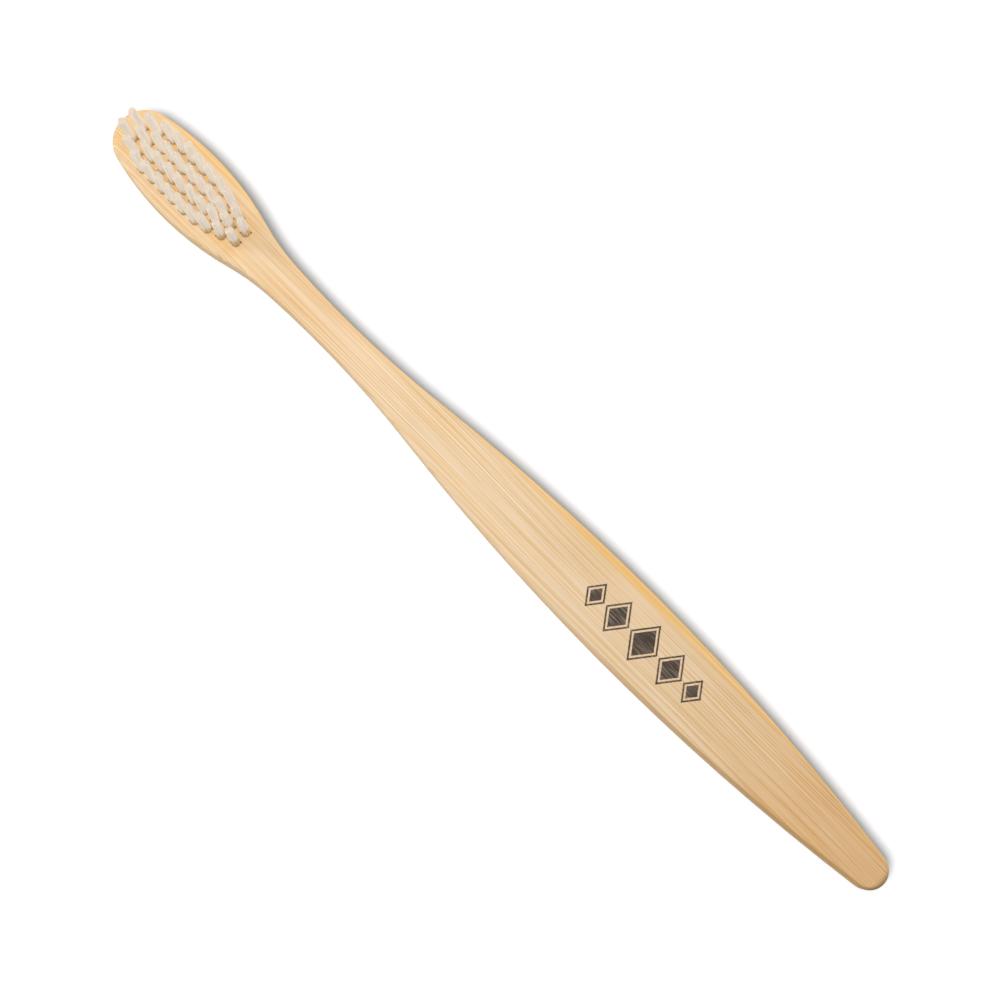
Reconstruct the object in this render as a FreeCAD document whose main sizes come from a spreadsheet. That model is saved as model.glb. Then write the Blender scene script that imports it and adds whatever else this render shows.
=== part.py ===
"""Manual toothbrush with a flat bamboo handle, lying on its back with the bristles up.

The length runs along X with the head towards +X, the back lies on Z = 0, and the origin is in the
middle of the length, under the brush. The head has rows of blind drilled holes. Each hole holds one
tuft of bristles, folded in two over a flat metal anchor plate that is driven into the hole's walls.
"""
import FreeCAD, Part
import math
import os
import Sketcher

# Driving dimensions in millimetres, and one angle in degrees
SIZES = {
    # handle, seen from the front: places are measured from the tip of the head
    "overall_length": 190.0,
    "head_width": 14.0,
    "head_place": 16.7,
    "nose_inset": 1.2,
    "shoulder_radius": 42.0,
    "neck_width": 6.2,
    "neck_place": 53.0,
    "neck_radius": 206.0,
    "grip_width": 14.8,
    "grip_place": 127.5,
    "tail_radius": 3.4,
    # handle, seen from the side
    "board_thickness": 5.5,
    "edge_radius": 0.75,
    # tuft field on the head
    "first_row": 4.1,
    "row_pitch": 2.635,
    "field_margin": 3.225,
    "least_pitch": 2.0,
    "hole_diameter": 1.7,
    "hole_depth": 3.3,
    # tuft of bristles
    "tuft_fit": 0.1,
    "tuft_height": 10.6,
    "tuft_top_diameter": 1.9,
    "fold_gap": 0.05,
    # anchor plate
    "anchor_width": 2.1,
    "anchor_height": 1.3,
    "anchor_thickness": 0.26,
    "anchor_seat": 0.6,
    "anchor_fit": 0.02,
    "anchor_angle": 45.0,
    # how far a cutting shape runs past what it cuts
    "overrun": 2.0,
}

# How far each row of tufts spreads, as a share of the field's width, from the tip to the neck
ROW_SPREAD_SHARES = (0.33, 0.69, 1.0, 1.0, 1.0, 1.0, 1.0, 0.97, 0.83, 0.59, 0.33)

# Flat sides round a tuft, which is a packed bundle and not a turned rod
TUFT_SIDES = 10

# Radius of the head's round nose, which is narrower than the head, the width of the tuft field between
# the middles of its outer tufts, and the radius of a tuft at its foot
NOSE_RADIUS = "(Sizes.head_width / 2 - Sizes.nose_inset)"
FIELD_WIDTH = "(Sizes.head_width - 2 * Sizes.field_margin)"
FOOT_RADIUS = "(Sizes.hole_diameter / 2 - Sizes.tuft_fit)"

# Sketch numbering: the points of a line or arc, and the sketch's own axis and origin
START, END, CENTRE = 1, 2, 3
X_AXIS, ORIGIN = -1, -1


def make_sheet(doc):
    """Writes the driving dimensions to a spreadsheet, one alias each."""
    sheet = doc.addObject("Spreadsheet::Sheet", "Sizes")
    for row, (name, value) in enumerate(SIZES.items(), start=1):
        sheet.set(f"A{row}", name)
        sheet.set(f"B{row}", str(value))
        sheet.setAlias(f"B{row}", name)
    doc.recompute()
    return sheet


def vector(x, y, z=0.0):
    return FreeCAD.Vector(x, y, z)


def arc_between(centre, start, end):
    """Arc round a centre, anticlockwise from one point to another."""
    spoke = start - centre
    circle = Part.Circle(centre, vector(0, 0, 1), spoke.Length)
    return Part.ArcOfCircle(circle, circle.parameter(start), circle.parameter(end))


def new_sketch(body, name, role, lift=None):
    """Sketch on one of a body's own origin planes, raised by a formula of the sheet's sizes."""
    plane = next(item for item in body.Origin.OriginFeatures if item.Role == role)
    sketch = body.newObject("Sketcher::SketchObject", name)
    sketch.AttachmentSupport = (plane, [""])
    sketch.MapMode = "FlatFace"
    if lift:
        sketch.setExpression("AttachmentOffset.Base.z", lift)
    return sketch


def bind(sketch, formula, kind, *places):
    """Adds a dimension to a sketch and ties it to a formula of the sheet's sizes."""
    index = sketch.addConstraint(Sketcher.Constraint(kind, *places))
    sketch.setExpression(f"Constraints[{index}]", formula)


def tie(sketch, kind, *places):
    sketch.addConstraint(Sketcher.Constraint(kind, *places))


def bound_point(sketch, geometry, position, x_formula, y_formula, at):
    """Fixes a point of a sketch by its distances from the origin."""
    bind(sketch, x_formula, "DistanceX", ORIGIN, START, geometry, position, at.x)
    bind(sketch, y_formula, "DistanceY", ORIGIN, START, geometry, position, at.y)


def polygon(sketch, corners):
    """Closed outline of straight lines; each corner is a point with its two formulas."""
    lines = []
    for (corner, _, _), (after, _, _) in zip(corners, corners[1:] + corners[:1]):
        lines.append(sketch.addGeometry(Part.LineSegment(corner, after)))
    for line, after in zip(lines, lines[1:] + lines[:1]):
        tie(sketch, "Coincident", line, END, after, START)
    for line, (corner, x_formula, y_formula) in zip(lines, corners):
        bound_point(sketch, line, START, x_formula, y_formula, corner)


def on_circle(centre, radius, towards):
    return centre + (towards - centre).normalize() * radius


def outline_circles(sheet):
    """Centres and radii of the tangent arcs along the +Y side of the handle."""
    half_length = sheet.overall_length / 2
    half_head = sheet.head_width / 2
    half_neck = sheet.neck_width / 2
    half_grip = sheet.grip_width / 2
    nose_radius = half_head - sheet.nose_inset
    nose = (vector(half_length - nose_radius, 0), nose_radius)
    tail = (vector(sheet.tail_radius - half_length, 0), sheet.tail_radius)
    nose_reach = sheet.head_place - nose_radius
    head_radius = (nose_reach**2 + half_head**2 - nose_radius**2) / (2 * sheet.nose_inset)
    head = (vector(half_length - sheet.head_place, half_head - head_radius), head_radius)
    neck = (vector(half_length - sheet.neck_place, half_neck + sheet.neck_radius), sheet.neck_radius)
    rise = half_grip - half_neck
    grip_radius = ((sheet.grip_place - sheet.neck_place)**2 + rise**2) / (2 * rise) - sheet.neck_radius
    grip_x = half_length - sheet.grip_place
    front = (vector(grip_x, half_grip - grip_radius), grip_radius)
    tail_reach = grip_x - tail[0].x
    tail_rise = half_grip - sheet.tail_radius
    rear_radius = (tail_reach**2 + half_grip**2 - sheet.tail_radius**2) / (2 * tail_rise)
    rear = (vector(grip_x, half_grip - rear_radius), rear_radius)
    # the shoulder's circle lies outside the head's arc and inside the neck's
    outer = head[1] + sheet.shoulder_radius
    inner = neck[1] - sheet.shoulder_radius
    line = neck[0] - head[0]
    along = (outer**2 - inner**2 + line.Length**2) / (2 * line.Length)
    across = (outer**2 - along**2)**0.5
    line.normalize()
    shoulder = (head[0] + line * along + vector(-line.y, line.x) * across, sheet.shoulder_radius)
    return {"nose": nose, "head": head, "shoulder": shoulder, "neck": neck, "front": front, "rear": rear,
            "tail": tail}


def outline_joints(circles):
    """Points where the arcs along the +Y side of the handle meet."""
    head = circles["head"]
    neck = circles["neck"]
    front = circles["front"]
    rear = circles["rear"]
    return {
        "nose": on_circle(*head, circles["nose"][0]),
        "head": on_circle(*head, circles["shoulder"][0]),
        "shoulder": on_circle(*neck, circles["shoulder"][0]),
        "neck": on_circle(*front, neck[0]),
        "front": front[0] + vector(0, front[1]),
        "rear": on_circle(*rear, circles["tail"][0]),
    }


def draw_outline(sketch, sheet):
    """Front view of the handle: head, slim neck and leaf-shaped grip, all tangent arcs."""
    circles = outline_circles(sheet)
    joints = outline_joints(circles)

    def mirror(point):
        return vector(point.x, -point.y)

    def upper(name, start, end):
        return sketch.addGeometry(arc_between(circles[name][0], joints[start], joints[end]))

    def lower(name, start, end):
        centre = mirror(circles[name][0])
        return sketch.addGeometry(arc_between(centre, mirror(joints[start]), mirror(joints[end])))

    nose = sketch.addGeometry(arc_between(circles["nose"][0], mirror(joints["nose"]), joints["nose"]))
    tail = sketch.addGeometry(arc_between(circles["tail"][0], joints["rear"], mirror(joints["rear"])))
    head = upper("head", "nose", "head")
    shoulder = upper("shoulder", "shoulder", "head")
    neck = upper("neck", "neck", "shoulder")
    front = upper("front", "neck", "front")
    rear = upper("rear", "front", "rear")
    low_head = lower("head", "head", "nose")
    low_shoulder = lower("shoulder", "head", "shoulder")
    low_neck = lower("neck", "shoulder", "neck")
    low_front = lower("front", "front", "neck")
    low_rear = lower("rear", "rear", "front")

    for meeting in (
        (nose, END, head, START),
        (head, END, shoulder, END),
        (shoulder, START, neck, END),
        (neck, START, front, START),
        (front, END, rear, START),
        (rear, END, tail, START),
        (tail, END, low_rear, START),
        (low_rear, END, low_front, START),
        (low_front, END, low_neck, END),
        (low_neck, START, low_shoulder, END),
        (low_shoulder, START, low_head, START),
        (low_head, END, nose, START),
    ):
        tie(sketch, "Tangent", *meeting)

    def centre_along(arc, name, formula):
        bind(sketch, formula, "DistanceX", ORIGIN, START, arc, CENTRE, circles[name][0].x)

    half = "Sizes.overall_length / 2"
    tie(sketch, "PointOnObject", nose, CENTRE, X_AXIS)
    bind(sketch, NOSE_RADIUS, "Radius", nose, circles["nose"][1])
    centre_along(nose, "nose", f"{half} - {NOSE_RADIUS}")
    tie(sketch, "PointOnObject", tail, CENTRE, X_AXIS)
    bind(sketch, "Sizes.tail_radius", "Radius", tail, circles["tail"][1])
    centre_along(tail, "tail", f"Sizes.tail_radius - {half}")

    head_radius = (
        f"((Sizes.head_place - {NOSE_RADIUS})^2 + Sizes.head_width^2 / 4 - {NOSE_RADIUS}^2)"
        " / (2 * Sizes.nose_inset)"
    )
    centre_along(head, "head", f"{half} - Sizes.head_place")
    bind(sketch, head_radius, "Radius", head, circles["head"][1])
    bind(sketch, "Sizes.shoulder_radius", "Radius", shoulder, circles["shoulder"][1])
    neck_centre = (f"{half} - Sizes.neck_place", "Sizes.neck_width / 2 + Sizes.neck_radius")
    bound_point(sketch, neck, CENTRE, *neck_centre, circles["neck"][0])
    bind(sketch, "Sizes.neck_radius", "Radius", neck, circles["neck"][1])
    front_radius = (
        "((Sizes.grip_place - Sizes.neck_place)^2 + (Sizes.grip_width - Sizes.neck_width)^2 / 4)"
        " / (Sizes.grip_width - Sizes.neck_width) - Sizes.neck_radius"
    )
    centre_along(front, "front", f"{half} - Sizes.grip_place")
    bind(sketch, front_radius, "Radius", front, circles["front"][1])
    tie(sketch, "Vertical", front, CENTRE, rear, CENTRE)

    for arc, low_arc in ((head, low_head), (neck, low_neck), (front, low_front)):
        tie(sketch, "Symmetric", arc, CENTRE, low_arc, CENTRE, X_AXIS)
    tie(sketch, "Equal", shoulder, low_shoulder)
    tie(sketch, "Equal", neck, low_neck)
    tie(sketch, "Vertical", low_front, CENTRE, low_rear, CENTRE)


def tuft_places(sheet):
    """Node name and place of each tuft on the head's front, with the formulas that give the place.

    A row has as many tufts as its spread holds at the least pitch, evenly spaced.
    """
    field_width = sheet.head_width - 2 * sheet.field_margin
    for row, spread_share in enumerate(ROW_SPREAD_SHARES):
        x_formula = f"Sizes.overall_length / 2 - Sizes.first_row - {row} * Sizes.row_pitch"
        x = sheet.overall_length / 2 - sheet.first_row - row * sheet.row_pitch
        gaps = int(spread_share * field_width / sheet.least_pitch)
        for number in range(gaps + 1):
            lane_share = (number - gaps / 2) * spread_share / max(gaps, 1)
            place = vector(x, lane_share * field_width)
            yield f"tuft_r{row + 1:02d}_{number + 1}", place, x_formula, f"{lane_share} * {FIELD_WIDTH}"


def draw_holes(sketch, sheet):
    """One circle for each tuft's hole, all of one size."""
    first = None
    for _, place, x_formula, y_formula in tuft_places(sheet):
        circle = sketch.addGeometry(Part.Circle(place, vector(0, 0, 1), sheet.hole_diameter / 2))
        bind(sketch, x_formula, "DistanceX", ORIGIN, START, circle, CENTRE, place.x)
        if place.y == 0:
            tie(sketch, "PointOnObject", circle, CENTRE, X_AXIS)
        else:
            bind(sketch, y_formula, "DistanceY", ORIGIN, START, circle, CENTRE, place.y)
        if first is None:
            first = circle
            bind(sketch, "Sizes.hole_diameter", "Diameter", circle, sheet.hole_diameter)
        else:
            tie(sketch, "Equal", first, circle)


def rim_edges(shape):
    """Names of the edges round the front and the back of the board: all that are not upright."""
    names = []
    for number, edge in enumerate(shape.Edges, start=1):
        if not isinstance(edge.Curve, Part.Line):
            names.append(f"Edge{number}")
    return names


def make_blank(doc, sheet):
    """Handle before the anchors go in: a flat board cut to its outline, rounded and drilled."""
    body = doc.addObject("PartDesign::Body", "handle_blank")
    outline = new_sketch(body, "handle_outline", "XY_Plane")
    draw_outline(outline, sheet)
    board = body.newObject("PartDesign::Pad", "handle_board")
    board.Profile = outline
    board.setExpression("Length", "Sizes.board_thickness")
    doc.recompute()

    rim = body.newObject("PartDesign::Fillet", "handle_rim")
    rim.Base = (board, rim_edges(board.Shape))
    rim.setExpression("Radius", "Sizes.edge_radius")
    doc.recompute()

    circles = new_sketch(body, "tuft_hole_centres", "XY_Plane", lift="Sizes.board_thickness")
    draw_holes(circles, sheet)
    doc.recompute()
    holes = body.newObject("PartDesign::Hole", "tuft_holes")
    holes.Profile = circles
    holes.DepthType = "Dimension"
    holes.DrillPoint = "Flat"
    holes.setExpression("Diameter", "Sizes.hole_diameter")
    holes.setExpression("Depth", "Sizes.hole_depth")
    doc.recompute()
    steps = (board, rim, holes)
    for before, after in zip(steps, steps[1:]):
        if after.Shape.Volume >= before.Shape.Volume:
            raise RuntimeError(f"{after.Name} takes nothing off the handle")
    return body


def make_plate(doc, name, x_formula, y_formula, slack, bottom, height):
    """Upright plate set across a hole at the anchors' slant, centred on the hole."""
    plate = doc.addObject("Part::Box", name)
    length = f"(Sizes.anchor_width + 2 * {slack})"
    width = f"(Sizes.anchor_thickness + 2 * {slack})"
    turn = "Sizes.anchor_angle * 1 deg"
    plate.setExpression("Length", length)
    plate.setExpression("Width", width)
    plate.setExpression("Height", height)
    plate.Placement = FreeCAD.Placement(vector(0, 0), FreeCAD.Rotation(vector(0, 0, 1), 1))
    plate.setExpression("Placement.Rotation.Angle", turn)
    x_shift = f"(sin({turn}) * {width} - cos({turn}) * {length}) / 2"
    y_shift = f"(cos({turn}) * {width} + sin({turn}) * {length}) / 2"
    plate.setExpression("Placement.Base.x", f"{x_formula} + {x_shift}")
    plate.setExpression("Placement.Base.y", f"{y_formula} - {y_shift}")
    plate.setExpression("Placement.Base.z", bottom)
    return plate


def make_handle(doc, sheet, blank):
    """Finished handle: the drilled blank with the nicks that hold the anchor plates by their ends."""
    floor = "Sizes.board_thickness - Sizes.hole_depth"
    height = "Sizes.hole_depth + Sizes.overrun"
    nicks = []
    for name, _, *formulas in tuft_places(sheet):
        nicks.append(make_plate(doc, f"nick_of_{name}", *formulas, "Sizes.anchor_fit", floor, height))
    group = doc.addObject("Part::Compound", "anchor_nicks")
    group.Links = nicks
    handle = doc.addObject("Part::Cut", "handle")
    handle.Base = blank
    handle.Tool = group
    return handle


def make_anchors(doc, sheet):
    """All the anchor plates, each with its ends in its nicks and the fold of its tuft underneath."""
    bottom = "Sizes.board_thickness - Sizes.hole_depth + Sizes.anchor_seat"
    plates = []
    for name, _, *formulas in tuft_places(sheet):
        plates.append(make_plate(doc, f"anchor_of_{name}", *formulas, "0", bottom, "Sizes.anchor_height"))
    anchors = doc.addObject("Part::Compound", "tuft_anchors")
    anchors.Links = plates
    return anchors


def draw_bundle(sketch, sheet):
    """Cross-section of a tuft at its foot: a regular polygon about the tuft's axis."""
    radius = sheet.hole_diameter / 2 - sheet.tuft_fit
    rim = sketch.addGeometry(Part.Circle(vector(0, 0), vector(0, 0, 1), radius), True)
    tie(sketch, "Coincident", rim, CENTRE, ORIGIN, START)
    bind(sketch, FOOT_RADIUS, "Radius", rim, radius)
    turn = 2 * math.pi / TUFT_SIDES
    corners = []
    for number in range(TUFT_SIDES):
        angle = (number - 0.5) * turn
        corners.append(vector(math.cos(angle), math.sin(angle)) * radius)
    sides = []
    for corner, after in zip(corners, corners[1:] + corners[:1]):
        sides.append(sketch.addGeometry(Part.LineSegment(corner, after)))
    for side, after in zip(sides, sides[1:] + sides[:1]):
        tie(sketch, "Coincident", side, END, after, START)
        tie(sketch, "PointOnObject", side, START, rim)
    for side in sides[1:]:
        tie(sketch, "Equal", sides[0], side)
    tie(sketch, "Vertical", sides[0])


def draw_window(sketch, sheet):
    """Gap between the two halves of a folded tuft, where its anchor plate passes."""
    side = sheet.anchor_thickness / 2 + sheet.anchor_fit
    low = sheet.anchor_seat - sheet.hole_depth - sheet.anchor_fit
    high = low + sheet.anchor_height + 2 * sheet.anchor_fit
    side_formula = "(Sizes.anchor_thickness / 2 + Sizes.anchor_fit)"
    low_formula = "Sizes.anchor_seat - Sizes.hole_depth - Sizes.anchor_fit"
    high_formula = "Sizes.anchor_seat - Sizes.hole_depth + Sizes.anchor_height + Sizes.anchor_fit"
    polygon(sketch, [
        (vector(-side, low), f"-{side_formula}", low_formula),
        (vector(side, low), side_formula, low_formula),
        (vector(side, high), side_formula, high_formula),
        (vector(-side, high), f"-{side_formula}", high_formula),
    ])


def make_tuft(doc, sheet):
    """One tuft of bristles: straight from the fold at its foot, spreading a little to its cut ends."""
    body = doc.addObject("PartDesign::Body", "tuft")
    foot = "Sizes.fold_gap - Sizes.hole_depth"
    length = f"(Sizes.tuft_height - ({foot}))"
    bundle = new_sketch(body, "tuft_bundle", "XY_Plane", lift=foot)
    draw_bundle(bundle, sheet)
    stem = body.newObject("PartDesign::Pad", "tuft_stem")
    stem.Profile = bundle
    stem.setExpression("Length", length)
    doc.recompute()

    sides = []
    for number, face in enumerate(stem.Shape.Faces, start=1):
        if abs(face.normalAt(0, 0).z) < 0.5:
            sides.append(f"Face{number}")
        elif face.CenterOfMass.z < 0:
            bottom = f"Face{number}"
    bristles = body.newObject("PartDesign::Draft", "tuft_bristles")
    bristles.Base = (stem, sides)
    bristles.NeutralPlane = (stem, [bottom])
    bristles.Reversed = True
    lean = f"(Sizes.tuft_top_diameter / 2 - {FOOT_RADIUS}) * cos(180 deg / {TUFT_SIDES})"
    bristles.setExpression("Angle", f"atan({lean} / {length})")
    doc.recompute()

    gap = new_sketch(body, "tuft_gap", "YZ_Plane")
    draw_window(gap, sheet)
    window = body.newObject("PartDesign::Pocket", "tuft_window")
    window.Profile = gap
    window.Type = "ThroughAll"
    window.Midplane = True
    doc.recompute()
    if bristles.Shape.Volume <= max(stem.Shape.Volume, window.Shape.Volume):
        raise RuntimeError("the tuft does not spread, or has no gap for its anchor")
    return body


def place_tuft(doc, tuft, name, x_formula, y_formula):
    """Copy of the tuft in its own hole, turned the way the anchor plates slant."""
    copy = doc.addObject("App::Link", name)
    copy.LinkedObject = tuft
    copy.Placement = FreeCAD.Placement(vector(0, 0), FreeCAD.Rotation(vector(0, 0, 1), 1))
    copy.setExpression("Placement.Rotation.Angle", "Sizes.anchor_angle * 1 deg")
    copy.setExpression("Placement.Base.x", x_formula)
    copy.setExpression("Placement.Base.y", y_formula)
    copy.setExpression("Placement.Base.z", "Sizes.board_thickness")
    return copy


def check(doc, shapes):
    """Stops if anything in the document failed or a piece's shape is not sound."""
    for item in doc.Objects:
        if "Invalid" in item.State or "Error" in item.State:
            raise RuntimeError(f"{item.Name} failed: {item.State}")
    for name, shape in shapes.items():
        if shape.isNull() or not shape.isValid():
            raise RuntimeError(f"{name} has no sound shape")


def main():
    doc = FreeCAD.newDocument("toothbrush")
    sheet = make_sheet(doc)
    pieces = [make_handle(doc, sheet, make_blank(doc, sheet)), make_anchors(doc, sheet)]
    tuft = make_tuft(doc, sheet)
    for name, _, *formulas in tuft_places(sheet):
        pieces.append(place_tuft(doc, tuft, name, *formulas))
    doc.recompute()
    shapes = {piece.Label: Part.getShape(piece) for piece in pieces}
    check(doc, shapes)
    os.makedirs("parts", exist_ok=True)
    for name, shape in shapes.items():
        shape.exportStep(f"parts/{name}.step")
        print(f"{name}: {len(shape.Solids)} solids, {shape.Volume:.2f} mm3")


main()
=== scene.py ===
"""Looks of a flat bamboo toothbrush that lies on its back: bamboo, nylon tufts, light, floor and camera.

Lengths are in metres in the part's own frame: +X towards the head, +Z out of the front, the back on Z = 0.
A pair whose name ends in RANGE or FADE says where a change starts and where it ends.
"""
import math
import random
from collections import namedtuple

import bpy
from mathutils import Matrix, Vector


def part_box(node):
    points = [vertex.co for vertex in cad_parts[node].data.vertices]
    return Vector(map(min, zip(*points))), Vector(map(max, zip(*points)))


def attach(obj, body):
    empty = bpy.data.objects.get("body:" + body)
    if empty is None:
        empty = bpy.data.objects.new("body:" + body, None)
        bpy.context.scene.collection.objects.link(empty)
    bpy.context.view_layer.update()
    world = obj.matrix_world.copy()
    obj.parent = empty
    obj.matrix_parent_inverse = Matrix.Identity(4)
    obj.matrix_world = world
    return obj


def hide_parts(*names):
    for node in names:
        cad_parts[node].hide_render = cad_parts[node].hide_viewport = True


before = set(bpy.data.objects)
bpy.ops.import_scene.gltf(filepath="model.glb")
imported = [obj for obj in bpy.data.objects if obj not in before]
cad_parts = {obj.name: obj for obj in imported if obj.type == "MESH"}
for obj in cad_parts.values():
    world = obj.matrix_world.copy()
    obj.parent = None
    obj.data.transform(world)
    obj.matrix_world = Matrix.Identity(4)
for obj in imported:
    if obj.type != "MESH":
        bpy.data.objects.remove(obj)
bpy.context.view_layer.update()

MM = 0.001
WHITE = (1.0, 1.0, 1.0, 1.0)
ORIGIN = Vector((0, 0, 0))

# Places on the CAD parts
BOARD_LOW, BOARD_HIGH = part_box("handle")
FRONT = BOARD_HIGH.z
TAIL_END = BOARD_LOW.x
TUFT_NODES = sorted(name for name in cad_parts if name.startswith("tuft_r"))


# Material building

# Sockets of the Mix node that take the share and the two colours, and the one that gives the result
MIX_SHARE, MIX_FIRST, MIX_SECOND = 0, 6, 7
MIX_RESULT = 2

# Noise: how fine it is, its mean level, and the levels between which most of it lies
GRAIN_DETAIL = 2.0
RIPPLE_DETAIL = 1.0
NOISE_MEAN = 0.5
NOISE_RANGE = (0.3, 0.7)
RELIEF_STRENGTH = 0.3

# Grain: length and width of its features, and an offset that tells one pattern from the next
Grain = namedtuple("Grain", "length width offset", defaults=(0.0,))


class Tree:
    """One material's node tree, with short calls for the nodes that repeat."""

    def __init__(self, name):
        self.material = bpy.data.materials.new(name)
        self.material.use_nodes = True
        self.tree = self.material.node_tree
        self.tree.nodes.clear()
        self.output = self.add("ShaderNodeOutputMaterial")

    def add(self, kind, inputs=None, **settings):
        node = self.tree.nodes.new(kind)
        for key, value in settings.items():
            setattr(node, key, value)
        for key, value in (inputs or {}).items():
            self.feed(node.inputs[key], value)
        return node

    def feed(self, socket, value):
        """Links a socket to another one, or sets its value."""
        if isinstance(value, bpy.types.NodeSocket):
            self.tree.links.new(value, socket)
        else:
            socket.default_value = value

    def place(self):
        """Place on the object, in the part's own frame."""
        return self.add("ShaderNodeTexCoord").outputs["Object"]

    def maths(self, operation, *values):
        node = self.add("ShaderNodeMath", dict(enumerate(values)), operation=operation)
        return node.outputs[0]

    def step(self, value, fade, low=0.0, high=1.0):
        """Smooth change from low to high as a value goes from the start of the fade to its end."""
        start, end = fade
        inputs = {"Value": value, "From Min": start, "From Max": end, "To Min": low, "To Max": high}
        node = self.add("ShaderNodeMapRange", inputs, interpolation_type="SMOOTHSTEP")
        return node.outputs["Result"]

    def near(self, distance, limit):
        """1 where a distance is 0, falling smoothly to 0 at its limit."""
        return self.step(distance, (0.0, limit), 1.0, 0.0)

    def blend(self, share, first, second, kind="MIX"):
        """Colour between two colours, or with another kind, the second laid over the first."""
        inputs = {MIX_SHARE: share, MIX_FIRST: first, MIX_SECOND: second}
        node = self.add("ShaderNodeMix", inputs, data_type="RGBA", blend_type=kind)
        return node.outputs[MIX_RESULT]

    def axes(self, vector):
        split = self.add("ShaderNodeSeparateXYZ", {"Vector": vector})
        return split.outputs["X"], split.outputs["Y"], split.outputs["Z"]

    def grain(self, place, grain):
        """Noise drawn out along X."""
        scale = (1 / grain.length, 1 / grain.width, 1 / grain.width)
        inputs = {"Vector": place, "Scale": scale, "Location": (grain.offset, 0, 0)}
        mapping = self.add("ShaderNodeMapping", inputs)
        inputs = {"Vector": mapping.outputs[0], "Scale": 1.0, "Detail": GRAIN_DETAIL}
        return self.add("ShaderNodeTexNoise", inputs).outputs["Fac"]

    def ripple(self, place, length, offset=0.0):
        """Noise along one line, with features of about the given length."""
        along = self.maths("ADD", self.maths("DIVIDE", place, length), offset)
        inputs = {"W": along, "Scale": 1.0, "Detail": RIPPLE_DETAIL}
        return self.add("ShaderNodeTexNoise", inputs, noise_dimensions="1D").outputs["Fac"]

    def surface(self, inputs, relief=None, depth=0.0):
        """Finishes the material, with a fine relief of the given depth where there is one."""
        shader = self.add("ShaderNodeBsdfPrincipled", inputs)
        if relief is not None:
            inputs = {"Height": relief, "Distance": depth, "Strength": RELIEF_STRENGTH}
            self.feed(shader.inputs["Normal"], self.add("ShaderNodeBump", inputs).outputs[0])
        self.feed(self.output.inputs["Surface"], shader.outputs[0])
        return self.material


# Bamboo: mottled ground and fine fibres, which sway a little and run on down the sides
PALE_TONE = (0.89, 0.685, 0.47, 1)
WARM_TONE = (0.83, 0.615, 0.385, 1)
GROUND_GRAIN = Grain(26 * MM, 2.6 * MM)
FIBRE_TONE = (0.75, 0.46, 0.175, 1)
FINE_GRAIN = Grain(30 * MM, 0.26 * MM, 3.0)
FINE_RANGE = (0.45, 0.68)
FINE_SHARE = 0.7
SWAY = 0.7 * MM
SWAY_LENGTH = 45 * MM
SIDE_SLANT = 0.6
WOOD_ROUGHNESS = (0.5, 0.64)
WOOD_GLOSS = 0.2
WOOD_RELIEF = 0.04 * MM

# Single fibres: width of the strip that holds one, half its width, the length of its fading, and a seed
FibreSet = namedtuple("FibreSet", "strip half_width run seed")
LIGHT_FIBRES = FibreSet(0.85 * MM, 0.17 * MM, 70 * MM, 7.0)
LIGHT_FIBRE_TONE = (0.97, 0.82, 0.63, 1)
LIGHT_FIBRE_SHARE = 0.9
ORANGE_FIBRES = FibreSet(0.8 * MM, 0.2 * MM, 40 * MM, 31.0)
ORANGE_TONE = (0.93, 0.54, 0.155, 1)
ORANGE_FIBRE_SHARE = 0.65
DARK_FIBRES = FibreSet(0.42 * MM, 0.12 * MM, 14 * MM, 53.0)
DARK_FIBRE_TONE = (0.6, 0.34, 0.1, 1)
DARK_FIBRE_SHARE = 0.36
TAIL_DARK_FIBRE_SHARE = 0.9
FLANK_WIDTH_SHARE = 2.2
FLANK_TONE_SHARE = 0.3
FIBRE_SHIFT_RUNS = 20
FIBRE_FADE = (0.38, 0.6)
FIBRE_STRENGTH_RANGE = (0.1, 0.8)

# Tints over the fibres, partly painted light and shade: along one margin, among the tufts, towards the tail
# and at the neck
# Painted light: an orange band along the margin on the −Y side, which stands in for how the light falls on
# that edge
PAINTED_LIGHT_MARGIN_FADE = (-4.6 * MM, -6.9 * MM)
PAINTED_LIGHT_MARGIN_SHARE = 0.7
# Painted shade among the tufts: deeper, warmer wood where they shade it
FIELD_SHADE_TINT = (1.0, 0.94, 0.79, 1)
FIELD_SHADE_FADE = (60 * MM, 65 * MM)
FIELD_SHADE_SIDE_FADE = (3.8 * MM, 5.2 * MM)
# Towards the tail: partly the bamboo's own deeper tone, partly painted shade where the key lamp's light
# falls off
TAIL_TONE_AND_SHADE = (0.99, 0.865, 0.70, 1)
TAIL_FADE = (-38 * MM, -88 * MM)
NECK_TINT = (0.99, 0.945, 0.89, 1)
NECK_MIDDLE = 45 * MM
NECK_REACH = 22 * MM

# Edges: painted light in orange on the sides that face −Y, painted shade in brown on the sides that face +Y
# towards the tail, a dark rim round the tail and dotted end grain.
# A facing is how far the surface turns to that side or end.
# Painted light: orange on the sides that face −Y
PAINTED_LIGHT_FACING_RANGE = (-0.08, -0.6)
PAINTED_LIGHT_SIDE_SHARE = 0.45
# Painted shade: brown on the sides that face +Y, more of it towards the tail
SHADED_SIDE_TONE = (0.5, 0.3, 0.12, 1)
SHADED_FACING_RANGE = (0.05, 0.5)
SHADED_SIDE_SHARE = 0.75
SHADED_SIDE_FADE = (10 * MM, -80 * MM)
RIM_TONE = (0.36, 0.22, 0.1, 1)
RIM_FADE = (TAIL_END + 1.6 * MM, TAIL_END + 0.1 * MM)
RIM_SHARE = 0.65
END_TONE = (0.5, 0.29, 0.12, 1)
END_FACING_RANGE = (0.5, 0.95)
END_GRAIN = Grain(0.5 * MM, 0.5 * MM, 5.0)
END_DOT_RANGE = (0.35, 0.7)
END_DOT_SHARES = (0.25, 0.8)


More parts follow.
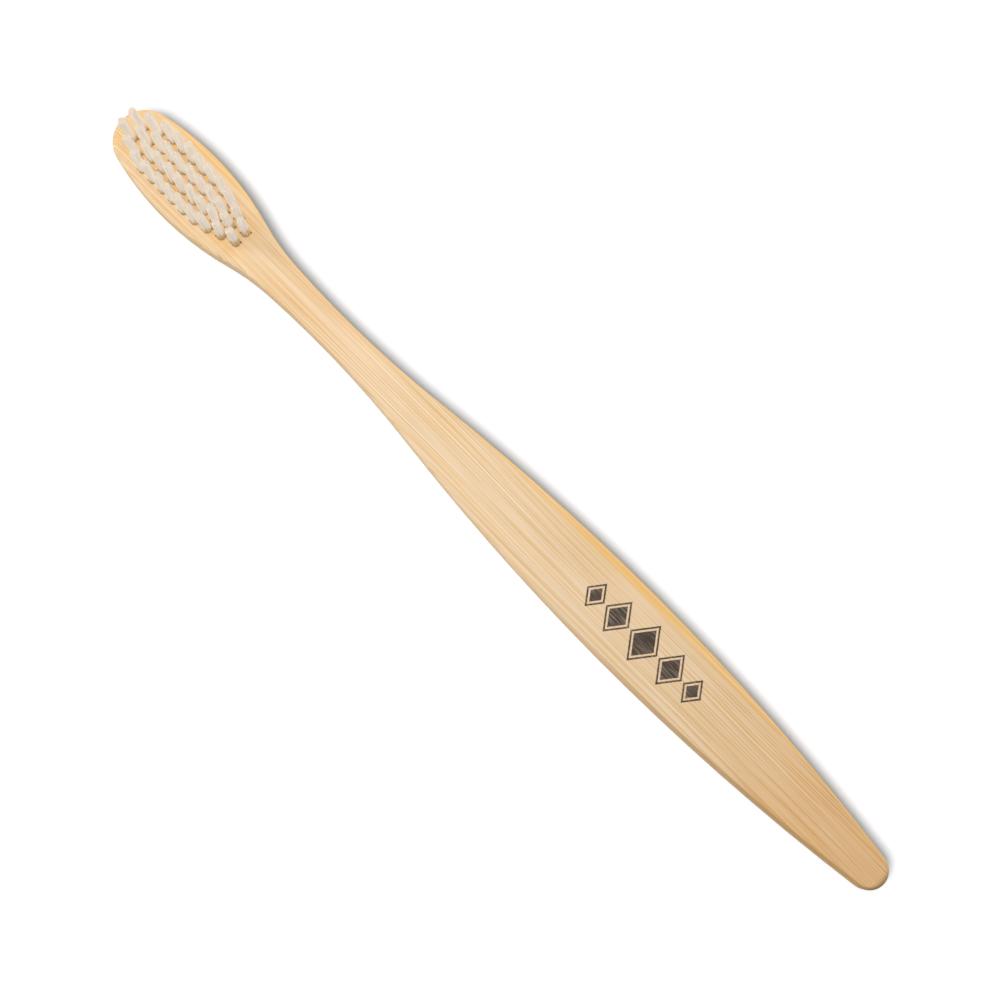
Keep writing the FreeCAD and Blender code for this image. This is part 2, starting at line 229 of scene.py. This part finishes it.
def fibres(tree, across, along, kind):
    """Single fibres, one in each strip across the board, with the deeper tone that flanks them."""
    place = tree.maths("ADD", tree.maths("DIVIDE", across, kind.strip), kind.seed)
    number = tree.maths("FLOOR", place)
    own = tree.add("ShaderNodeTexWhiteNoise", {"W": number}, noise_dimensions="1D").outputs["Color"]
    middle, strength, shift = tree.axes(own)
    off = tree.maths("ABSOLUTE", tree.maths("SUBTRACT", tree.maths("FRACT", place), middle))
    off = tree.maths("MULTIPLY", off, kind.strip)
    shifted = tree.maths("MULTIPLY_ADD", shift, FIBRE_SHIFT_RUNS * kind.run, along)
    fade = tree.step(tree.ripple(shifted, kind.run, kind.seed), FIBRE_FADE)
    fade = tree.maths("MULTIPLY", fade, tree.step(strength, FIBRE_STRENGTH_RANGE))
    line = tree.maths("MULTIPLY", tree.near(off, kind.half_width), fade)
    flank = tree.maths("MULTIPLY", tree.near(off, FLANK_WIDTH_SHARE * kind.half_width), fade)
    return line, flank


def fibre_colour(tree, place, tail):
    """Mottled ground with fine fibres, single light, orange and dark ones, and painted light in orange along
    one margin.
    """
    x, y, z = tree.axes(place)
    sway = tree.maths("MULTIPLY", tree.ripple(x, SWAY_LENGTH), SWAY)
    across = tree.maths("ADD", tree.maths("MULTIPLY_ADD", z, SIDE_SLANT, y), sway)
    swayed = tree.add("ShaderNodeCombineXYZ", {"X": x, "Y": across, "Z": z}).outputs[0]
    ground = tree.grain(swayed, GROUND_GRAIN)
    fine = tree.grain(swayed, FINE_GRAIN)
    light, light_flank = fibres(tree, across, x, LIGHT_FIBRES)
    orange, _ = fibres(tree, across, x, ORANGE_FIBRES)
    dark, _ = fibres(tree, across, x, DARK_FIBRES)

    colour = tree.blend(tree.step(ground, NOISE_RANGE), PALE_TONE, WARM_TONE)
    colour = tree.blend(tree.step(fine, FINE_RANGE, 0.0, FINE_SHARE), colour, FIBRE_TONE)
    colour = tree.blend(tree.maths("MULTIPLY", light_flank, FLANK_TONE_SHARE), colour, FIBRE_TONE)
    orange = tree.maths("MULTIPLY", orange, ORANGE_FIBRE_SHARE)
    # Painted light in orange along the −Y margin, added to the real orange fibres
    painted_light_margin = tree.step(y, PAINTED_LIGHT_MARGIN_FADE)
    orange_fibres_and_painted_light = tree.maths("MULTIPLY_ADD", painted_light_margin, PAINTED_LIGHT_MARGIN_SHARE, orange)
    colour = tree.blend(orange_fibres_and_painted_light, colour, ORANGE_TONE)
    colour = tree.blend(tree.maths("MULTIPLY", light, LIGHT_FIBRE_SHARE), colour, LIGHT_FIBRE_TONE)
    added_share = TAIL_DARK_FIBRE_SHARE - DARK_FIBRE_SHARE
    dark_share = tree.maths("MULTIPLY_ADD", tail, added_share, DARK_FIBRE_SHARE)
    colour = tree.blend(tree.maths("MULTIPLY", dark, dark_share), colour, DARK_FIBRE_TONE)
    return colour, fine


def tinted(tree, colour, place, tail):
    """Painted shade among the tufts, a deeper tone towards the tail that is partly the bamboo's own and
    partly painted shade, and a tint at the neck.
    """
    x, y, _ = tree.axes(place)
    # Painted shade on the wood among the tufts
    beside = tree.step(tree.maths("ABSOLUTE", y), FIELD_SHADE_SIDE_FADE, 1.0, 0.0)
    field_shade = tree.maths("MULTIPLY", tree.step(x, FIELD_SHADE_FADE), beside)
    colour = tree.blend(field_shade, colour, FIELD_SHADE_TINT, kind="MULTIPLY")
    # Deeper towards the tail: partly the bamboo's own tone, partly painted shade
    colour = tree.blend(tail, colour, TAIL_TONE_AND_SHADE, kind="MULTIPLY")
    off_neck = tree.maths("ABSOLUTE", tree.maths("SUBTRACT", x, NECK_MIDDLE))
    return tree.blend(tree.near(off_neck, NECK_REACH), colour, NECK_TINT, kind="MULTIPLY")


def edged(tree, colour, place):
    """Painted light and shade on the board's sides, deeper tones round its tail and on its end grain."""
    along = tree.axes(place)[0]
    ahead, aside, _ = tree.axes(tree.add("ShaderNodeNewGeometry").outputs["Normal"])
    # Painted light in orange on the sides that face −Y
    painted_light_side = tree.step(aside, PAINTED_LIGHT_FACING_RANGE, 0.0, PAINTED_LIGHT_SIDE_SHARE)
    colour = tree.blend(painted_light_side, colour, ORANGE_TONE)
    # Painted shade in brown on the sides that face +Y, growing towards the tail
    shaded_side = tree.step(aside, SHADED_FACING_RANGE, 0.0, SHADED_SIDE_SHARE)
    shaded_side = tree.maths("MULTIPLY", tree.step(along, SHADED_SIDE_FADE), shaded_side)
    colour = tree.blend(shaded_side, colour, SHADED_SIDE_TONE)
    rim = tree.step(along, RIM_FADE, 0.0, RIM_SHARE)
    colour = tree.blend(rim, colour, RIM_TONE)
    dots = tree.step(tree.grain(place, END_GRAIN), END_DOT_RANGE, *END_DOT_SHARES)
    end = tree.step(tree.maths("ABSOLUTE", ahead), END_FACING_RANGE)
    return tree.blend(tree.maths("MULTIPLY", end, dots), colour, END_TONE)


# Burnt ornament on the grip: a row of lozenges that shrink towards both ends, from the middle one outwards
ORNAMENT_MIDDLE = -36.5 * MM
LOZENGE_HEIGHTS = (8.6 * MM, 7.4 * MM, 5.6 * MM)
LOZENGE_WIDTH_SHARE = 0.76
LOZENGE_GAP = 0.4 * MM
INLAY_INSET = 0.5 * MM
INLAY_LINE = 0.3 * MM
CHAR_DARK = (0.045, 0.03, 0.022, 1)
CHAR_LIGHT = (0.22, 0.17, 0.135, 1)
CHAR_GRAIN = Grain(3 * MM, 0.16 * MM, 17.0)
CHAR_RANGE = (0.4, 0.7)
CHAR_SHARE = 0.985
BURN_EDGE = 0.04 * MM
BURN_RAGGEDNESS = 0.12 * MM
BURN_DEPTH_SHARE = 0.8
FRONT_SKIN = 0.1 * MM


def lozenge_row():
    """Half the row, from its middle outwards: place, half width and half height of each lozenge."""
    place = 0.0
    reach = 0.0
    for number, height in enumerate(LOZENGE_HEIGHTS):
        half_width = height * LOZENGE_WIDTH_SHARE / 2
        if number:
            place = reach + LOZENGE_GAP + half_width
        reach = place + half_width
        yield place, half_width, height / 2


def burnt_mask(tree, place, fine):
    """How burnt the front is: the lozenges, each with a thin bare line inside its border."""
    x, y, z = tree.axes(place)
    along = tree.maths("ABSOLUTE", tree.maths("SUBTRACT", x, ORNAMENT_MIDDLE))
    across = tree.maths("ABSOLUTE", y)
    inside = None
    for middle, half_width, half_height in lozenge_row():
        off = tree.maths("ABSOLUTE", tree.maths("SUBTRACT", along, middle))
        along_share = tree.maths("DIVIDE", off, half_width)
        across_share = tree.maths("DIVIDE", across, half_height)
        share = tree.maths("ADD", along_share, across_share)
        slope = half_width * half_height / math.hypot(half_width, half_height)
        depth = tree.maths("MULTIPLY", tree.maths("SUBTRACT", 1.0, share), slope)
        inside = depth if inside is None else tree.maths("MAXIMUM", inside, depth)
    uneven = tree.maths("SUBTRACT", fine, NOISE_MEAN)
    ragged = tree.maths("MULTIPLY_ADD", uneven, BURN_RAGGEDNESS, inside)
    solid = tree.step(ragged, (-BURN_EDGE, BURN_EDGE))
    off_line = tree.maths("ABSOLUTE", tree.maths("SUBTRACT", ragged, INLAY_INSET))
    off_bare = tree.step(off_line, (INLAY_LINE / 2, INLAY_LINE / 2 + BURN_EDGE))
    on_front = tree.step(z, (FRONT - 2 * FRONT_SKIN, FRONT - FRONT_SKIN))
    return tree.maths("MULTIPLY", tree.maths("MULTIPLY", solid, off_bare), on_front)


def make_bamboo():
    """Sanded strip bamboo with the burnt ornament."""
    tree = Tree("bamboo")
    place = tree.place()
    tail = tree.step(tree.axes(place)[0], TAIL_FADE)
    colour, fine = fibre_colour(tree, place, tail)
    colour = tinted(tree, colour, place, tail)
    colour = edged(tree, colour, place)
    burnt = burnt_mask(tree, place, fine)
    char = tree.blend(tree.step(tree.grain(place, CHAR_GRAIN), CHAR_RANGE), CHAR_DARK, CHAR_LIGHT)
    colour = tree.blend(tree.maths("MULTIPLY", burnt, CHAR_SHARE), colour, char)
    roughness = tree.step(fine, NOISE_RANGE, *WOOD_ROUGHNESS)
    relief = tree.maths("SUBTRACT", fine, tree.maths("MULTIPLY", burnt, BURN_DEPTH_SHARE))
    inputs = {"Base Color": colour, "Roughness": roughness, "Specular IOR Level": WOOD_GLOSS}
    return tree.surface(inputs, relief, WOOD_RELIEF)


# Nylon: pale tips, a little colour from filament to filament, painted brown shade up the foot and painted
# shade of the hole at its very bottom.
# The painted shade of the foot reaches higher in the rows next to the neck.
NYLON_DULL = (0.76, 0.655, 0.525, 1)
NYLON_BRIGHT = (0.865, 0.785, 0.685, 1)
NYLON_GRAIN = Grain(0.4 * MM, 0.1 * MM)
NYLON_ROUGHNESS = (0.55, 0.7)
NYLON_GLOSS = 0.08
NYLON_SCATTER = 0.035 * MM
EVEN_SCATTER_SHARES = (1.0, 1.0, 1.0)
# Painted brown shade up the foot of each tuft, and painted shade of the hole at its very bottom
FOOT_SHADE_TONE = (0.61, 0.38, 0.155, 1)
FOOT_SHADE_FADE = (FRONT + 1.3 * MM, FRONT + 4.4 * MM)
FOOT_SHADE_SPREAD = 2.0 * MM
FOOT_SHADE_SHARE = 0.95
NECK_FOOT_SHADE_LIFT = 2.0 * MM
NECK_FOOT_SHADE_FADE = (71 * MM, 65 * MM)
HOLE_SHADE_TONE = (0.3, 0.17, 0.07, 1)
HOLE_SHADE_FADE = (FRONT + 0.3 * MM, FRONT + 1.2 * MM)
HOLE_SHADE_SHARE = 0.35


def make_nylon():
    """Off-white nylon that lets light through, with painted brown shade at the foot, each filament a little
    different.
    """
    tree = Tree("nylon")
    place = tree.place()
    along, _, height = tree.axes(place)
    filament = tree.add("ShaderNodeNewGeometry").outputs["Random Per Island"]
    colour = tree.blend(filament, NYLON_DULL, NYLON_BRIGHT)
    # Painted brown shade up the foot, higher near the neck, then painted shade of the hole
    shade_lift = tree.step(along, NECK_FOOT_SHADE_FADE, 0.0, NECK_FOOT_SHADE_LIFT)
    rise = tree.maths("MULTIPLY_ADD", filament, FOOT_SHADE_SPREAD, tree.maths("SUBTRACT", height, shade_lift))
    colour = tree.blend(tree.step(rise, FOOT_SHADE_FADE, FOOT_SHADE_SHARE, 0.0), colour, FOOT_SHADE_TONE)
    colour = tree.blend(tree.step(height, HOLE_SHADE_FADE, HOLE_SHADE_SHARE, 0.0), colour, HOLE_SHADE_TONE)
    roughness = tree.step(tree.grain(place, NYLON_GRAIN), NOISE_RANGE, *NYLON_ROUGHNESS)
    inputs = {"Base Color": colour, "Roughness": roughness, "Specular IOR Level": NYLON_GLOSS,
              "Subsurface Weight": 1.0, "Subsurface Radius": EVEN_SCATTER_SHARES,
              "Subsurface Scale": NYLON_SCATTER}
    return tree.surface(inputs)


# Anchor plates: brass-coloured wire, drawn lengthwise
METAL_DARK = (0.62, 0.5, 0.28, 1)
METAL_BRIGHT = (0.78, 0.66, 0.42, 1)
METAL_GRAIN = Grain(1.2 * MM, 0.06 * MM)
METAL_ROUGHNESS = (0.28, 0.45)
METAL_RELIEF = 0.01 * MM


def make_anchor_metal():
    """Plain flat wire."""
    tree = Tree("anchor_metal")
    drawn = tree.grain(tree.place(), METAL_GRAIN)
    colour = tree.blend(drawn, METAL_DARK, METAL_BRIGHT)
    roughness = tree.step(drawn, NOISE_RANGE, *METAL_ROUGHNESS)
    inputs = {"Base Color": colour, "Metallic": 1.0, "Roughness": roughness}
    return tree.surface(inputs, drawn, METAL_RELIEF)


# Tufts: filaments packed in rings round a middle one, from inside the hole to the cut top
FILAMENT_RADIUS = 0.1 * MM
FILAMENT_PITCH = 0.243 * MM
FILAMENT_RINGS = 3
FILAMENTS_PER_RING = 6
FILAMENT_SIDES = 6
FILAMENT_FOOT = FRONT - 1.2 * MM

# Where a filament has rings: shares of its straight length, then shares of its tip's length and radius
BEND_SHARES = (0.0, 0.12, 0.35, 0.6, 0.8)
TIP_LENGTH = 0.11 * MM
TIP_SHARES = ((0.0, 1.0), (0.55, 0.82), (0.9, 0.5))

# A tuft's top against its foot: narrower, leaning, flared forwards near the nose, and a little untidy
TUFT_SPREAD_SHARE = 0.95
TUFT_LEAN = 0.12 * MM
NOSE_FLARE = 0.6 * MM
FLARE_REACH = 12 * MM
FILAMENT_STRAY = 0.05 * MM
CUT_UNEVENNESS = 0.07 * MM

# How far the shading normals of a filament turn up, which lets the bundle take light as a soft whole
NORMAL_RISE = 1.1


def packed_places():
    """Middles of the filaments of a tuft at its foot, packed in round rings that fill the hole."""
    places = [Vector((0, 0))]
    for ring in range(1, FILAMENT_RINGS + 1):
        count = FILAMENTS_PER_RING * ring
        for number in range(count):
            turn = math.tau * number / count
            places.append(Vector((math.cos(turn), math.sin(turn))) * ring * FILAMENT_PITCH)
    return places


def filament_rings(foot, top, length):
    """Middles, heights and radii of the rings along one filament, which bends gently and has a round tip."""
    straight = length - TIP_LENGTH
    for share in BEND_SHARES:
        yield foot.lerp(top, share * share), share * straight, FILAMENT_RADIUS
    for share, radius_share in TIP_SHARES:
        yield top, straight + share * TIP_LENGTH, FILAMENT_RADIUS * radius_share


def filament_faces(first, rings):
    """Walls between the rings of a filament and caps on its ends, from the number of its first point."""
    faces = []
    for ring in range(rings - 1):
        start = first + ring * FILAMENT_SIDES
        above = start + FILAMENT_SIDES
        for side in range(FILAMENT_SIDES):
            after = (side + 1) % FILAMENT_SIDES
            faces.append((start + side, start + after, above + after, above + side))
    last = first + (rings - 1) * FILAMENT_SIDES
    faces.append([first + FILAMENT_SIDES - 1 - side for side in range(FILAMENT_SIDES)])
    faces.append([last + side for side in range(FILAMENT_SIDES)])
    return faces


def random_step(draw):
    """Random step in the plane of the board, of about unit length."""
    return Vector((draw.gauss(0, 1), draw.gauss(0, 1)))


def tuft_mesh(node, first_row):
    """Bundle of filaments in the place of one tuft, cut level a little unevenly."""
    low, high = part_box(node)
    middle = Vector(((low.x + high.x) / 2, (low.y + high.y) / 2))
    draw = random.Random(node)
    lean = random_step(draw) * TUFT_LEAN
    lean.x += NOSE_FLARE * max(0.0, 1 - (first_row - middle.x) / FLARE_REACH)
    turn = Matrix.Rotation(draw.uniform(0, math.tau), 2)
    points = []
    normals = []
    faces = []
    for packed in packed_places():
        foot = turn @ packed
        top = foot * TUFT_SPREAD_SHARE + lean + random_step(draw) * FILAMENT_STRAY
        length = high.z - FILAMENT_FOOT - abs(draw.gauss(0, 1)) * CUT_UNEVENNESS
        rings = list(filament_rings(foot, top, length))
        faces += filament_faces(len(points), len(rings))
        for centre, rise, radius in rings:
            for side in range(FILAMENT_SIDES):
                angle = math.tau * side / FILAMENT_SIDES
                out = Vector((math.cos(angle), math.sin(angle), 0))
                points.append(Vector((*(middle + centre), FILAMENT_FOOT + rise)) + radius * out)
                normals.append((out + Vector((0, 0, NORMAL_RISE))).normalized())
    mesh = bpy.data.meshes.new(f"{node}_bristles")
    mesh.from_pydata(points, [], faces)
    mesh.polygons.foreach_set("use_smooth", [True] * len(mesh.polygons))
    mesh.normals_split_custom_set_from_vertices(normals)
    return mesh


def make_tuft(node, first_row, material):
    """Piece that takes the place of one solid tuft."""
    mesh = tuft_mesh(node, first_row)
    mesh.materials.append(material)
    piece = bpy.data.objects.new(f"{node}_bristles", mesh)
    piece.cycles.shadow_terminator_geometry_offset = 0.0
    bpy.context.scene.collection.objects.link(piece)
    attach(piece, "root")
    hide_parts(node)
    return piece


def dress(node, material):
    """Gives a CAD part its material."""
    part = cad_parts[node]
    part.data.materials.clear()
    part.data.materials.append(material)
    return part


# Floor and surroundings: white as seen, with the tone that the floor throws back on the brush
FLOOR_SIZE = 6.0
FLOOR_LEVEL = -0.02 * MM
FLOOR_WHITE = (0.76, 0.85, 0.92, 1)
FLOOR_BOUNCE = (0.41, 0.45, 0.37, 1)
FLOOR_GLOW = (0.02, 0.06, 0.1, 1)
WORLD_LEVEL = 0.36

# Sun on the floor alone, which gives the board's shadow
SUN_LEVEL = 1.0
SUN_TONE = (1.0, 0.83, 0.76)
SUN_SLANT = math.radians(18)
SUN_ANGLE = math.radians(24)

# Key lamp above the head
KEY_PLACE = Vector((79, 0, 255)) * MM
KEY_AIM = Vector((40, 0, 0)) * MM
KEY_SIZE = 45 * MM
KEY_POWER = 0.32

# Fill lamps: bearing and rise in degrees, seen from the brush, and level
Fill = namedtuple("Fill", "bearing rise level")
FILLS = (Fill(-90, 12, 0.32), Fill(30, 16, 0.42))
FILL_ANGLE = math.radians(22)

# Camera: turn of the brush on the table, tilt from straight down, and what it aims at on the floor
CAMERA_TURN = math.radians(134.628)
CAMERA_TILT = math.radians(6.559)
CAMERA_DISTANCE = 455.7 * MM
CAMERA_AIM = Vector((0.607, -0.261, 0)) * MM
CAMERA_LENS_MM = 92.52
CAMERA_SENSOR_MM = 36.0


def seen_directly(tree):
    """1 for rays from the camera, mirrors and glass, which see the bare white of the stage."""
    path = tree.nodes.new("ShaderNodeLightPath")
    seen = path.outputs["Is Camera Ray"]
    for name in ("Is Glossy Ray", "Is Transmission Ray"):
        node = tree.nodes.new("ShaderNodeMath")
        node.operation = "MAXIMUM"
        tree.links.new(seen, node.inputs[0])
        tree.links.new(path.outputs[name], node.inputs[1])
        seen = node.outputs[0]
    return seen


def make_floor():
    """White floor that keeps the shadow and shows white where nothing shades it."""
    half = FLOOR_SIZE / 2
    corners = [(-half, -half), (half, -half), (half, half), (-half, half)]
    mesh = bpy.data.meshes.new("floor")
    mesh.from_pydata([(x, y, FLOOR_LEVEL) for x, y in corners], [], [(0, 1, 2, 3)])
    tree = Tree("floor")
    seen = seen_directly(tree.tree)
    white = tree.blend(seen, FLOOR_BOUNCE, FLOOR_WHITE)
    paper = tree.add("ShaderNodeBsdfDiffuse", {"Color": white})
    glow = tree.add("ShaderNodeEmission", {"Color": FLOOR_GLOW, "Strength": seen})
    both = tree.add("ShaderNodeAddShader", {0: paper.outputs[0], 1: glow.outputs[0]})
    tree.feed(tree.output.inputs["Surface"], both.outputs[0])
    mesh.materials.append(tree.material)
    floor = bpy.data.objects.new("floor", mesh)
    bpy.context.scene.collection.objects.link(floor)
    return floor


def make_world():
    """Even white surroundings, dimmer as a light than they look."""
    world = bpy.data.worlds.new("studio")
    world.use_nodes = True
    tree = world.node_tree
    background = tree.nodes["Background"]
    background.inputs["Color"].default_value = WHITE
    level = tree.nodes.new("ShaderNodeMapRange")
    level.inputs["To Min"].default_value = WORLD_LEVEL
    tree.links.new(seen_directly(tree), level.inputs["Value"])
    tree.links.new(level.outputs["Result"], background.inputs["Strength"])
    bpy.context.scene.world = world


def gathered(name, objects):
    """Collection that says which objects a lamp lights, or which ones shade it."""
    collection = bpy.data.collections.new(name)
    for item in objects:
        collection.objects.link(item)
    return collection


def make_lamp(name, data, place, target, objects, blockers=None):
    """Lamp that points from its place to a target and lights the given objects alone."""
    lamp = bpy.data.objects.new(name, data)
    lamp.location = place
    lamp.rotation_euler = (place - target).to_track_quat("Z", "Y").to_euler()
    lamp.visible_camera = False
    lamp.light_linking.receiver_collection = gathered(f"lit_by_{name}", objects)
    if blockers:
        lamp.light_linking.blocker_collection = gathered(f"shading_{name}", blockers)
    bpy.context.scene.collection.objects.link(lamp)
    return lamp


def make_lights(floor, handle, pieces):
    """A key above the head and two low soft fills for the brush, and a high sun for the board's shadow."""
    key = bpy.data.lights.new("key", "AREA")
    key.size = KEY_SIZE
    key.energy = KEY_POWER
    make_lamp("key", key, KEY_PLACE, KEY_AIM, pieces, blockers=[handle])
    sun = bpy.data.lights.new("sun", "SUN")
    sun.energy = SUN_LEVEL * math.pi
    sun.color = SUN_TONE
    sun.angle = SUN_ANGLE
    above = Vector((0, math.sin(SUN_SLANT), math.cos(SUN_SLANT)))
    make_lamp("sun", sun, above, ORIGIN, [floor], blockers=[handle])
    for bearing, rise, level in FILLS:
        fill = bpy.data.lights.new("fill", "SUN")
        fill.energy = level * math.pi
        fill.angle = FILL_ANGLE
        turn = math.radians(bearing)
        slope = math.radians(rise)
        outwards = Vector((math.cos(turn), math.sin(turn), 0))
        beside = outwards * math.cos(slope) + Vector((0, 0, math.sin(slope)))
        make_lamp(f"fill_{bearing}", fill, beside, ORIGIN, pieces)


def make_camera():
    """Camera high above the brush that looks almost straight down."""
    data = bpy.data.cameras.new("camera")
    data.lens = CAMERA_LENS_MM
    data.sensor_width = CAMERA_SENSOR_MM
    turn = Matrix.Rotation(-CAMERA_TURN, 3, "Z")
    back = turn @ Vector((0, -math.sin(CAMERA_TILT), math.cos(CAMERA_TILT)))
    right = turn @ Vector((1, 0, 0))
    up = back.cross(right)
    camera = bpy.data.objects.new("camera", data)
    matrix = Matrix((right, up, back)).transposed().to_4x4()
    matrix.translation = turn @ CAMERA_AIM + back * CAMERA_DISTANCE
    camera.matrix_world = matrix
    bpy.context.scene.collection.objects.link(camera)
    bpy.context.scene.camera = camera


def main():
    """Dresses the CAD parts, makes the tufts and sets the stage."""
    bpy.context.scene.view_settings.view_transform = "Standard"
    handle = dress("handle", make_bamboo())
    pieces = [handle, dress("tuft_anchors", make_anchor_metal())]
    nylon = make_nylon()
    first_row = sum(corner.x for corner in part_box(TUFT_NODES[0])) / 2
    for node in TUFT_NODES:
        pieces.append(make_tuft(node, first_row, nylon))
    floor = make_floor()
    make_world()
    make_lights(floor, handle, pieces)
    make_camera()


main()
